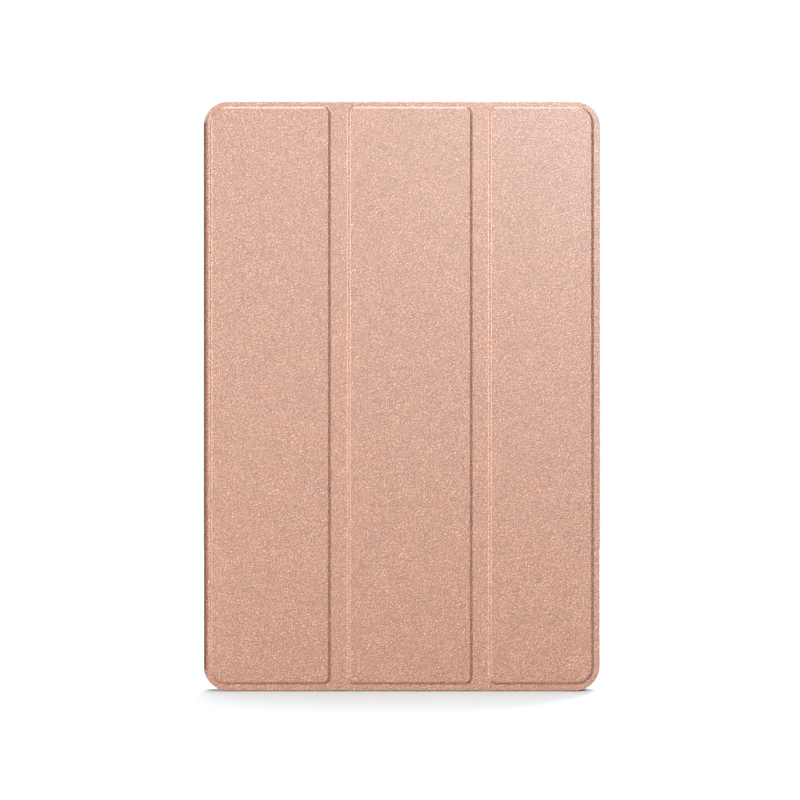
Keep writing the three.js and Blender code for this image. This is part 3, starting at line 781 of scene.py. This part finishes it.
# The cover: leather drawn over three boards.
cover = {
    "cornerRadius": 10.5 * mm,
    "sideWall": 0.75 * mm,  # from a board's edge to the outside of its leather
    "foldRadius": 3.0 * mm,  # a raised panel's corners at a fold
    "outerRadius": 7.0 * mm,  # and at the folio's own corners
    "bevelOut": 0.42 * mm,  # how far the bevel runs out of the raised outline
    "bevelIn": 0.86 * mm,  # and into it
    "bevelEase": 0.30,
    "bevelMargin": 0.10 * mm,  # a ring this far out on the flat hem
    "bevelSteps": 12,
    "cutRadius": 0.22 * mm,  # of the leather's cut edge
    "cutSteps": 4,
    "liningRadius": 0.12 * mm,
    "liningSteps": 3,
    "pocketWall": 0.70 * mm,
    "pocketStep": 0.1 * mm,
    "skin": 0.70 * mm,  # the leather's thickness over the board
    "arcSteps": 16,
}

frontLow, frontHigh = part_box("cover_leather_1")
panelFront, leatherBack = frontLow.y, frontHigh.y
sheetFoot, sheetHead = frontLow.z, frontHigh.z
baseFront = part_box("fold_strip_1")[0].y
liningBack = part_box("cover_lining_1")[1].y
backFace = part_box("back_leather")[1].y
folioLeft = cadLow.x
folioRight = cadHigh.x
bendX = folioLeft + bend["radius"]
frontBendY = baseFront + bend["radius"]
backBendY = backFace - bend["radius"]
spineFoot, spineHead = [corner.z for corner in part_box("spine_leather")]
notchGap = 0.03 * mm

# The seams between the panels and the fold strips lie in the middle of the CAD's gaps.
foldSeams = []
for before, strip, after in (
    ("cover_leather_1", "fold_strip_1", "cover_leather_2"),
    ("cover_leather_2", "fold_strip_2", "cover_leather_3"),
):
    low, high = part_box(strip)
    foldSeams.append(((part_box(before)[1].x + low.x) / 2, (high.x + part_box(after)[0].x) / 2))


def flatMap(place, normal):
    # The front of the cover: the grain lies flat on it and runs on over its edges.
    if abs(normal.y) > facing:
        return (place.x, place.z)
    depth = place.y - baseFront
    return (place.x + depth, place.z + depth)


def bentMap(centreY, towardsFront):
    # Unrolls a bend, so that the grain runs on from the cover over the spine to the back.
    start = bendX if towardsFront else bendX - quarterArc - (backBendY - frontBendY)

    def mapping(place, normal):
        away = Vector((place.x - bendX, place.y - centreY))
        angle = math.atan2(-away.x, -away.y if towardsFront else away.y)
        turn = angle if towardsFront else math.pi / 2 - angle
        return (start - bend["radius"] * turn, place.z + bend["radius"] - away.length)

    return mapping


def spineMap(place, normal):
    return (bendX - quarterArc - (place.y - frontBendY), place.z + place.x - folioLeft)


def backMap(place, normal):
    start = bendX - 2 * quarterArc - (backBendY - frontBendY)
    depth = backFace - place.y if abs(normal.y) < facing else 0.0
    return (start - (place.x - bendX) + depth, place.z + depth)


def notchedOutline(rightEdge, rightRadius):
    # The folio's outline up to rightEdge, cut away on the left for the spine.
    steps = cover["arcSteps"]
    radius = cover["cornerRadius"]
    footZ, headZ = sheetFoot + radius, sheetHead - radius
    notchX = bendX + notchGap
    low, high = spineFoot - notchGap, spineHead + notchGap
    footStart = math.pi + math.asin((footZ - low) / radius)
    headEnd = math.pi - math.asin((high - headZ) / radius)
    centreX = folioLeft + radius
    outline = []
    for step in range(steps + 1):
        angle = footStart + (1.5 * math.pi - footStart) * step / steps
        outline.append((centreX + radius * math.cos(angle), footZ + radius * math.sin(angle)))
    radii = (0, rightRadius, rightRadius, 0)
    outline += roundedOutline(centreX, rightEdge, sheetFoot, sheetHead, radii, steps)[1:-1]
    for step in range(steps + 1):
        angle = math.pi / 2 + (headEnd - math.pi / 2) * step / steps
        outline.append((centreX + radius * math.cos(angle), headZ + radius * math.sin(angle)))
    return outline + [(notchX, high), (notchX, low)]


def sheetOutline(index):
    # One panel's outline, and the sides of it that are seams.
    if index == 0:
        return notchedOutline(foldSeams[0][0], 0), (foldSeams[0][0], bendX + notchGap)
    x0 = foldSeams[index - 1][1]
    x1 = foldSeams[index][0] if index == 1 else folioRight
    radius = cover["cornerRadius"] if index == 2 else 0
    radii = (0, radius, radius, 0)
    seams = (x0, x1) if index == 1 else (x0,)
    return roundedOutline(x0, x1, sheetFoot, sheetHead, radii, cover["arcSteps"]), seams


def panelOutline(index):
    low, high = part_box(f"cover_board_{index + 1}")
    wall = cover["sideWall"]
    first = cover["outerRadius"] if index == 0 else cover["foldRadius"]
    last = cover["outerRadius"] if index == 2 else cover["foldRadius"]
    edges = (low.x - wall, high.x + wall, low.z - wall, high.z + wall)
    return roundedOutline(*edges, (first, last, last, first), cover["arcSteps"])


def bevelRise(share):
    # Nearly straight, and eased a little at both ends.
    eased = share * share * (3 - 2 * share)
    return (1 - cover["bevelEase"]) * share + cover["bevelEase"] * eased


def coverPanel(index):
    outline, seams = sheetOutline(index)
    raised = panelOutline(index)
    skin = Skin()
    edge = cutEdge(outline, baseFront, leatherBack, cover["cutRadius"], seams, cover["cutSteps"])
    skin.bands(edge)
    bevel = [at(baseFront, drawnIn(raised, -cover["bevelOut"] - cover["bevelMargin"]))]
    steps = cover["bevelSteps"]
    for step in range(steps + 1):
        share = step / steps
        inset = -cover["bevelOut"] + (cover["bevelOut"] + cover["bevelIn"]) * share
        depth = baseFront + (panelFront - baseFront) * bevelRise(share)
        bevel.append(at(depth, drawnIn(raised, inset)))
    bevel.append(at(panelFront, drawnIn(raised, cover["bevelIn"] + flatMargin)))
    skin.cap(baseFront, flattened(edge[0]), [flattened(bevel[0])])
    skin.bands(bevel)
    skin.cap(panelFront, flattened(bevel[-1]))
    # The pocket behind the raised part, which the board fills.
    wall = cover["pocketWall"]
    pocketFloor = panelFront + cover["skin"]
    pocket = [
        at(leatherBack, drawnIn(raised, wall)),
        at(pocketFloor + cover["pocketStep"], drawnIn(raised, wall)),
        at(pocketFloor, drawnIn(raised, wall + flatMargin)),
    ]
    skin.cap(leatherBack, flattened(edge[-1]), [flattened(pocket[0])])
    skin.bands(pocket)
    skin.cap(pocketFloor, flattened(pocket[-1]))
    name = f"cover_leather_panel_{index + 1}"
    piece = newPiece(name, skin, leather, flatMap)
    return stand(piece, f"panel_{index + 1}", "rose_leatherette", f"cover_leather_{index + 1}")


def liningPanel(index):
    outline, seams = sheetOutline(index)
    skin = Skin()
    edge = cutEdge(
        outline, leatherBack, liningBack, cover["liningRadius"], seams, cover["liningSteps"]
    )
    skin.cap(leatherBack, flattened(edge[0]))
    skin.bands(edge)
    skin.cap(liningBack, flattened(edge[-1]))
    name = f"cover_lining_panel_{index + 1}"
    piece = newPiece(name, skin, microfibre, flatMap)
    return stand(piece, f"panel_{index + 1}", "microfibre", f"cover_lining_{index + 1}")


foldStrip = {
    "columns": 22,  # across the part that bends
    "halfBend": 2.0 * mm,
    "pressedIn": 0.20 * mm,  # the lining is pressed thinner here, clear of the shell's rim
    "liningRadius": 0.10 * mm,
    "cutSteps": 4,
}


def lengthProfile(yFront, yBack, radius):
    # The section along a fold strip: flat, with a rounded edge at the foot and at the head.
    steps = foldStrip["cutSteps"]
    rounding = []
    for step in range(steps + 1):
        angle = math.pi / 2 * step / steps
        rounding.append((radius * (1 - math.sin(angle)), radius * (1 - math.cos(angle))))
    profile = [(sheetFoot + radius + flatMargin, yFront)]
    profile += [(sheetFoot + up, yFront + back) for up, back in rounding]
    profile += [(sheetFoot + up, yBack - back) for up, back in reversed(rounding)]
    profile.append((sheetFoot + radius + flatMargin, yBack))
    return profile + [(sheetFoot + sheetHead - z, y) for z, y in reversed(profile)]


def stripThrough(rings):
    skin = Skin()
    skin.bands(rings)
    skin.face(rings[0])
    skin.face(rings[-1])
    return skin


def foldPiece(index, yFront, yBack, name, material, radius):
    # A strip in many narrow columns, close together across the middle, where the real strip bends.
    x0, x1 = foldSeams[index]
    columns, half = foldStrip["columns"], foldStrip["halfBend"]
    axis = (x0 + x1) / 2
    places = [x0, (x0 + axis - half) / 2]
    places += [axis - half + 2 * half * column / columns for column in range(columns + 1)]
    places += [(x1 + axis + half) / 2, x1]
    profile = lengthProfile(yFront, yBack, radius)
    skin = stripThrough([[(x, y, z) for z, y in profile] for x in places])
    piece = newPiece(name, skin, material, flatMap)
    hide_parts(f"fold_strip_{index + 1}")
    middleY = (yFront + yBack) / 2
    middleZ = (sheetFoot + sheetHead) / 2
    start, end = (axis - half, middleY, middleZ), (axis + half, middleY, middleZ)
    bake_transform(piece)
    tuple(start)
    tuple(end)
    return piece


def bentPiece(name, centreY, towardsFront, outer, inner, material, bodies, node):
    # A quarter-round strip at the edge of the spine.
    rings = []
    steps = bend["steps"]
    direction = -1 if towardsFront else 1
    for step in range(steps + 1):
        angle = math.pi / 2 * step / steps
        ring = []
        for radius, ends in ((outer, (spineFoot, spineHead)), (inner, (spineHead, spineFoot))):
            x = bendX - radius * math.sin(angle)
            y = centreY + direction * radius * math.cos(angle)
            ring += [(x, y, z) for z in ends]
        rings.append(ring)
    piece = newPiece(name, stripThrough(rings), material, bentMap(centreY, towardsFront))
    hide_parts(node)
    if towardsFront:
        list(bodies)
        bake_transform(piece)
    else:
        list(bodies)
        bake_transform(piece)
    return piece


def makeCover():
    panels = [coverPanel(index) for index in range(3)]
    linings = [liningPanel(index) for index in range(3)]
    for index in range(2):
        number = index + 1
        strip = foldPiece(
            index, baseFront, leatherBack, f"fold_leather_{number}", leather, cover["cutRadius"]
        )
        inner = foldPiece(
            index, leatherBack, liningBack - foldStrip["pressedIn"],
            f"fold_lining_{number}", microfibre, foldStrip["liningRadius"],
        )
    for kind, sheets in (("leather", panels), ("lining", linings)):
        for index, piece in enumerate(sheets):
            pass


def makeSpine():
    inner = bend["radius"] - bend["leather"]
    liningIn, liningOut = bend["lining"]
    for node, centreY, towardsFront, bodies in (
        ("front_hinge", frontBendY, True, ("spine", "panel_1")),
        ("back_hinge", backBendY, False, ("root", "spine")),
    ):
        bentPiece(
            node + "_leather", centreY, towardsFront, bend["radius"], inner,
            mattSpineLeather, bodies, node,
        )
        bentPiece(
            node + "_lining", centreY, towardsFront, liningOut, liningIn,
            microfibre, bodies, node,
        )
    for node, name, material, slot in (
        ("spine_leather", "spine_leather_strip", mattSpineLeather, "rose_leatherette"),
        ("spine_lining", "spine_lining_strip", microfibre, "microfibre"),
    ):
        low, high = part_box(node)
        corners = [(low.x, frontBendY), (low.x, backBendY), (high.x, backBendY), (high.x, frontBendY)]
        heights = (low.z, (low.z + high.z) / 2, high.z)
        rings = [[(x, y, z) for x, y in corners] for z in heights]
        stand(newPiece(name, stripThrough(rings), material, spineMap), "spine", slot, node)


cameraWindow = {"half": 8.5 * mm, "radius": 5.0 * mm}


def makeBack():
    low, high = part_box("back_leather")
    outline = notchedOutline(high.x, cover["cornerRadius"])
    ringLow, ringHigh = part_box("rear_camera_ring")
    middle = (ringLow + ringHigh) / 2
    half = cameraWindow["half"]
    sides = (middle.x - half, middle.x + half, middle.z - half, middle.z + half)
    window = roundedOutline(*sides, (cameraWindow["radius"],) * 4, cover["arcSteps"])
    skin = Skin()
    seams = (bendX + notchGap,)
    edge = cutEdge(outline, low.y, high.y, cover["cutRadius"], seams, cover["cutSteps"])
    hole = [at(ring[0][1], window) for ring in edge[1:-1]]
    skin.bands(edge)
    skin.bands(hole)
    skin.cap(low.y, flattened(edge[0]), [flattened(hole[0])])
    skin.cap(high.y, flattened(edge[-1]), [flattened(hole[-1])])
    piece = newPiece("back_leather_sheet", skin, leather, backMap)
    stand(piece, "root", "rose_leatherette", "back_leather")


makeCover()
makeSpine()
makeBack()
print("folio leather and lining made")


# The moulded shell, and the tablet in it.
edgeRadii = {
    "back_shell": 0.30 * mm,
    "rear_housing": 0.28 * mm,
    "power_button": 0.35 * mm,
    "volume_rocker": 0.35 * mm,
    "card_tray": 0.18 * mm,
    "rear_camera_ring": 0.18 * mm,
}


def makeRigid():
    for node, body, material, slot in (
        ("back_shell", "root", "shellPlastic", "shell_plastic"),
        ("rear_housing", "root", "blastedAluminium", "anodised_aluminium"),
        ("power_button", "power_key", "blastedAluminium", "anodised_aluminium"),
        ("volume_rocker", "volume_key", "blastedAluminium", "anodised_aluminium"),
        ("card_tray", "tray", "blastedAluminium", "anodised_aluminium"),
        ("rear_camera_ring", "root", "blastedAluminium", "anodised_aluminium"),
    ):
        piece = softened(node, node + "_finished", edgeRadii[node], plain[material])
        stand(piece, body, slot, node)


glass = {"cornerRadius": 7.0 * mm, "cornerSteps": 16, "edgeRadius": 0.30 * mm, "edgeSteps": 5}


def makeGlass():
    low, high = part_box("cover_glass")
    radii = (glass["cornerRadius"],) * 4
    outline = roundedOutline(low.x, high.x, low.z, high.z, radii, glass["cornerSteps"])
    skin = Skin()
    edge = cutEdge(outline, low.y, high.y, glass["edgeRadius"], (), glass["edgeSteps"])
    skin.bands(edge)
    skin.cap(low.y, flattened(edge[0]))
    skin.cap(high.y, flattened(edge[-1]))
    piece = newPiece("screen_glass_sheet", skin, screenGlass)
    stand(piece, "root", "screen_glass", "cover_glass")


innerFinishes = {
    "fibreBoard": ["spine_board", "cover_board_1", "cover_board_2", "cover_board_3"],
    "magnetNickel": ["stand_magnet_1", "stand_magnet_2", "wake_magnet"],
    "displayLayers": ["lcd_cell"],
    "backlightFilm": ["backlight_unit"],
    "stampedSteel": [
        "mid_plate", "processor_shield", "memory_shield", "usb_receptacle", "card_reader",
        "microphone_1", "microphone_2", "board_screw_1", "board_screw_2", "board_screw_3",
        "board_screw_4",
    ],
    "pouchFoil": ["battery_cell_1", "battery_cell_2"],
    "amberFlex": ["battery_flex", "board_link_flex", "display_flex", "button_flex"],
    "mattBlackMoulding": [
        "speaker_1", "speaker_2", "speaker_3", "speaker_4", "antenna_1", "antenna_2",
        "front_camera", "rear_camera_module",
    ],
}


def paint(node, material):
    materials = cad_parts[node].data.materials
    materials.clear()
    materials.append(material)


def finishInside():
    for name, nodes in innerFinishes.items():
        for node in nodes:
            paint(node, plain[name])
    for node in ("battery_board", "main_board", "usb_board"):
        paint(node, solderMask)
    paint("rear_camera_lens", coatedLens)


gauze = {
    "apart": 112 * mm,  # between the middles of the two slots of one edge
    "wide": 20 * mm,
    "low": 1.7 * mm,  # the slot lies this far from the back of the housing
    "high": 2.9 * mm,
    "sunk": 0.45 * mm,
    "wire": 0.045 * mm,  # radius
    "wireSides": 8,
    "pitch": 0.25 * mm,
    "slack": 0.08 * mm,  # between the wires' ends and the slot
}


def wireNode(tree, radius, length):
    values = {"Vertices": gauze["wireSides"], "Radius": radius, "Depth": length}
    return addNode(tree, "MeshCylinder", values).outputs["Mesh"]


def rowOfWires(tree, wire, count, start, step, turn):
    line = addNode(tree, "MeshLine", {"Count": count, "Start Location": start, "Offset": step})
    values = {"Points": line.outputs[0], "Instance": wire, "Rotation": turn}
    return addNode(tree, "InstanceOnPoints", values).outputs[0]


def gauzeTree(material):
    # Two crossed rows of wires, put into each of the four speaker slots.
    tree = bpy.data.node_groups.new("speakerGauze", "GeometryNodeTree")
    sockets = {}
    for name, kind in (
        ("Wire radius", "NodeSocketFloat"), ("Wires across", "NodeSocketInt"),
        ("Wires along", "NodeSocketInt"), ("Pitch", "NodeSocketFloat"),
        ("Wide", "NodeSocketFloat"), ("Deep", "NodeSocketFloat"),
        ("Between slots", "NodeSocketFloat"), ("Between edges", "NodeSocketFloat"),
        ("Middle", "NodeSocketVector"),
    ):
        sockets[name] = tree.interface.new_socket(name, in_out="INPUT", socket_type=kind).identifier
    tree.interface.new_socket("Geometry", in_out="OUTPUT", socket_type="NodeSocketGeometry")
    given = addNode(tree, "NodeGroupInput").outputs
    radius, pitch = given["Wire radius"], given["Pitch"]
    starts = []
    for count in (given["Wires across"], given["Wires along"]):
        length = combine(tree, "MULTIPLY", combine(tree, "SUBTRACT", count, 1), pitch)
        starts.append(combine(tree, "MULTIPLY", length, -0.5))
    startX, startY = starts
    upper = combine(tree, "MULTIPLY", radius, 1.02)  # the two rows just miss each other
    lower = combine(tree, "MULTIPLY", upper, -1.0)
    across = rowOfWires(
        tree, wireNode(tree, radius, given["Deep"]), given["Wires across"],
        addNode(tree, "CombineXYZ", {0: startX, 2: upper}).outputs[0],
        addNode(tree, "CombineXYZ", {0: pitch}).outputs[0], (math.pi / 2, 0, 0),
    )
    along = rowOfWires(
        tree, wireNode(tree, radius, given["Wide"]), given["Wires along"],
        addNode(tree, "CombineXYZ", {1: startY, 2: lower}).outputs[0],
        addNode(tree, "CombineXYZ", {1: pitch}).outputs[0], (0, math.pi / 2, 0),
    )
    patch = addNode(tree, "JoinGeometry")
    tree.links.new(across, patch.inputs[0])
    tree.links.new(along, patch.inputs[0])
    values = {
        "Size X": given["Between slots"], "Size Y": given["Between edges"],
        "Vertices X": 2, "Vertices Y": 2,
    }
    grid = addNode(tree, "MeshGrid", values).outputs[0]
    moved = {"Geometry": grid, "Translation": given["Middle"], "Rotation": (math.pi / 2, 0, 0)}
    slots = addNode(tree, "Transform", moved).outputs[0]
    placed = addNode(tree, "InstanceOnPoints", {"Points": slots, "Instance": patch.outputs[0]})
    real = addNode(tree, "RealizeInstances", {0: placed.outputs[0]}).outputs[0]
    painted = addNode(tree, "SetMaterial", {"Geometry": real, "Material": material}).outputs[0]
    addNode(tree, "NodeGroupOutput", {0: painted})
    return tree, sockets


def makeGauze():
    steel = plain["stampedSteel"]
    tree, sockets = gauzeTree(steel)
    low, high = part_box("rear_housing")
    middle = (low + high) / 2
    middle.y = high.y - (gauze["low"] + gauze["high"]) / 2
    pitch = gauze["pitch"]
    deep = gauze["high"] - gauze["low"] - gauze["slack"]
    wide = gauze["wide"] - gauze["slack"]
    values = {
        "Wire radius": gauze["wire"],
        "Wires across": int(wide / pitch),
        "Wires along": int(deep / pitch),
        "Pitch": pitch,
        "Wide": wide,
        "Deep": deep,
        "Between slots": gauze["apart"],
        "Between edges": high.z - low.z - 2 * gauze["sunk"],
        "Middle": tuple(middle),
    }
    holder = addObject("gauze_source", bpy.data.meshes.new("gauze_source"))
    modifier = holder.modifiers.new("gauze", "NODES")
    modifier.node_group = tree
    for name, value in values.items():
        modifier[sockets[name]] = value
    graph = bpy.context.evaluated_depsgraph_get()
    mesh = bpy.data.meshes.new_from_object(holder.evaluated_get(graph), depsgraph=graph)
    mesh.name = "speaker_gauze"
    mesh.polygons.foreach_set("material_index", [0] * len(mesh.polygons))
    bpy.data.objects.remove(holder)
    piece = finishedPiece(mesh, sharpEdges["rigid"], steel)
    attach(piece, "root")
    print("speaker gauze:", len(mesh.polygons), "faces")


makeRigid()
makeGlass()
makeGauze()
finishInside()
print("shell and tablet made")
